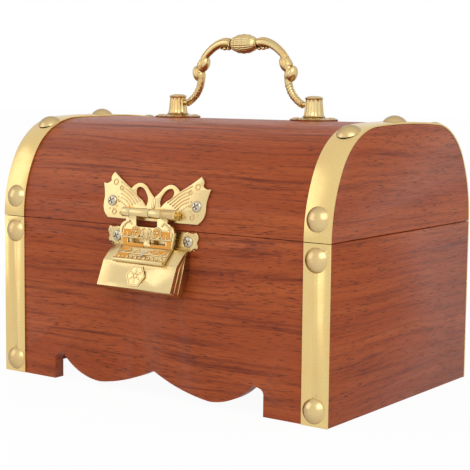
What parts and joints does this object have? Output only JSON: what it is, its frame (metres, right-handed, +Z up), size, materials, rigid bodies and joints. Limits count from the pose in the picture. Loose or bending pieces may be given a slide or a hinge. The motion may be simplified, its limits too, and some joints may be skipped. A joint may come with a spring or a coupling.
{
  "type": "treasure chest box",
  "caption": "Small wooden treasure chest with a round hinged lid, brass straps, a butterfly hasp with a lock, and a swinging carrying handle.",
  "frame": {"origin": "on the floor, under the middle of the whole chest, lock and hinges included", "axes": "+X to the right along the front, +Y to the back, +Z up; the lock is on the -Y side"},
  "size_m": [0.2, 0.1538, 0.1769],
  "materials": {
    "wood_front": "satin reddish brown stain, grain along the length",
    "wood_end": "satin reddish brown stain, grain front to back",
    "wood_lid": "satin reddish brown stain, grain along the length",
    "wood_bottom": "plain stain",
    "brass_strap": "satin, lightly speckled",
    "brass_nail": "polished",
    "brass_lock": "polished pale gold, engraved",
    "brass_handle": "cast, darker in its recesses",
    "brass_hinge": "satin",
    "steel_inner": "zinc plated"
  },
  "bodies": {
    "base": {"front_panel": "wood_front", "back_panel": "wood_front", "left_end_panel": "wood_end", "right_end_panel": "wood_end", "bottom_board": "wood_bottom", "front_left_strap": "brass_strap", "front_right_strap": "brass_strap", "back_left_strap": "brass_strap", "back_right_strap": "brass_strap", "base_strap_nails": "brass_nail", "left_hinge_base_leaf": "brass_hinge", "right_hinge_base_leaf": "brass_hinge", "left_hinge_pin": "brass_hinge", "right_hinge_pin": "brass_hinge", "base_hinge_screws": "brass_hinge", "catch_plate": "brass_lock", "catch_plate_screws": "brass_hinge", "lock_case": "brass_lock", "lock_back_cover": "steel_inner", "lock_case_screws": "brass_hinge"},
    "lid": {"lid_sheet": "wood_lid", "lid_left_end": "wood_end", "lid_right_end": "wood_end", "lid_left_strap": "brass_strap", "lid_right_strap": "brass_strap", "lid_strap_nails": "brass_nail", "left_hinge_lid_leaf": "brass_hinge", "right_hinge_lid_leaf": "brass_hinge", "lid_hinge_screws": "brass_hinge", "butterfly_plate": "brass_lock", "butterfly_screws": "brass_hinge", "hasp_pin": "brass_hinge", "left_handle_post": "brass_handle", "right_handle_post": "brass_handle", "handle_screws": "steel_inner", "handle_washers": "steel_inner"},
    "hasp": {"hasp_plate": "brass_lock", "hasp_staple": "steel_inner"},
    "bail": {"handle_bail": "brass_handle"},
    "plug": {"lock_plug": "brass_lock", "lock_bolt": "steel_inner"}
  },
  "joints": [
    {"name": "lid_hinge", "type": "hinge", "parent": "base", "child": "lid", "pos_m": [0, 0.07499, 0.08215], "axis": [-1, 0, 0], "range_deg": [0, 110]},
    {"name": "hasp_swing", "type": "hinge", "parent": "lid", "child": "hasp", "pos_m": [0, -0.06474, 0.08941], "axis": [-1, 0, 0], "range_deg": [0, 130]},
    {"name": "bail_swing", "type": "hinge", "parent": "lid", "child": "bail", "pos_m": [0, 0.01169, 0.1413], "axis": [-1, 0, 0], "range_deg": [-95, 95]},
    {"name": "plug_turn", "type": "hinge", "parent": "base", "child": "plug", "pos_m": [0, -0.0743, 0.0604], "axis": [0, 0.9212, -0.3891], "range_deg": [0, 45]}
  ]
}
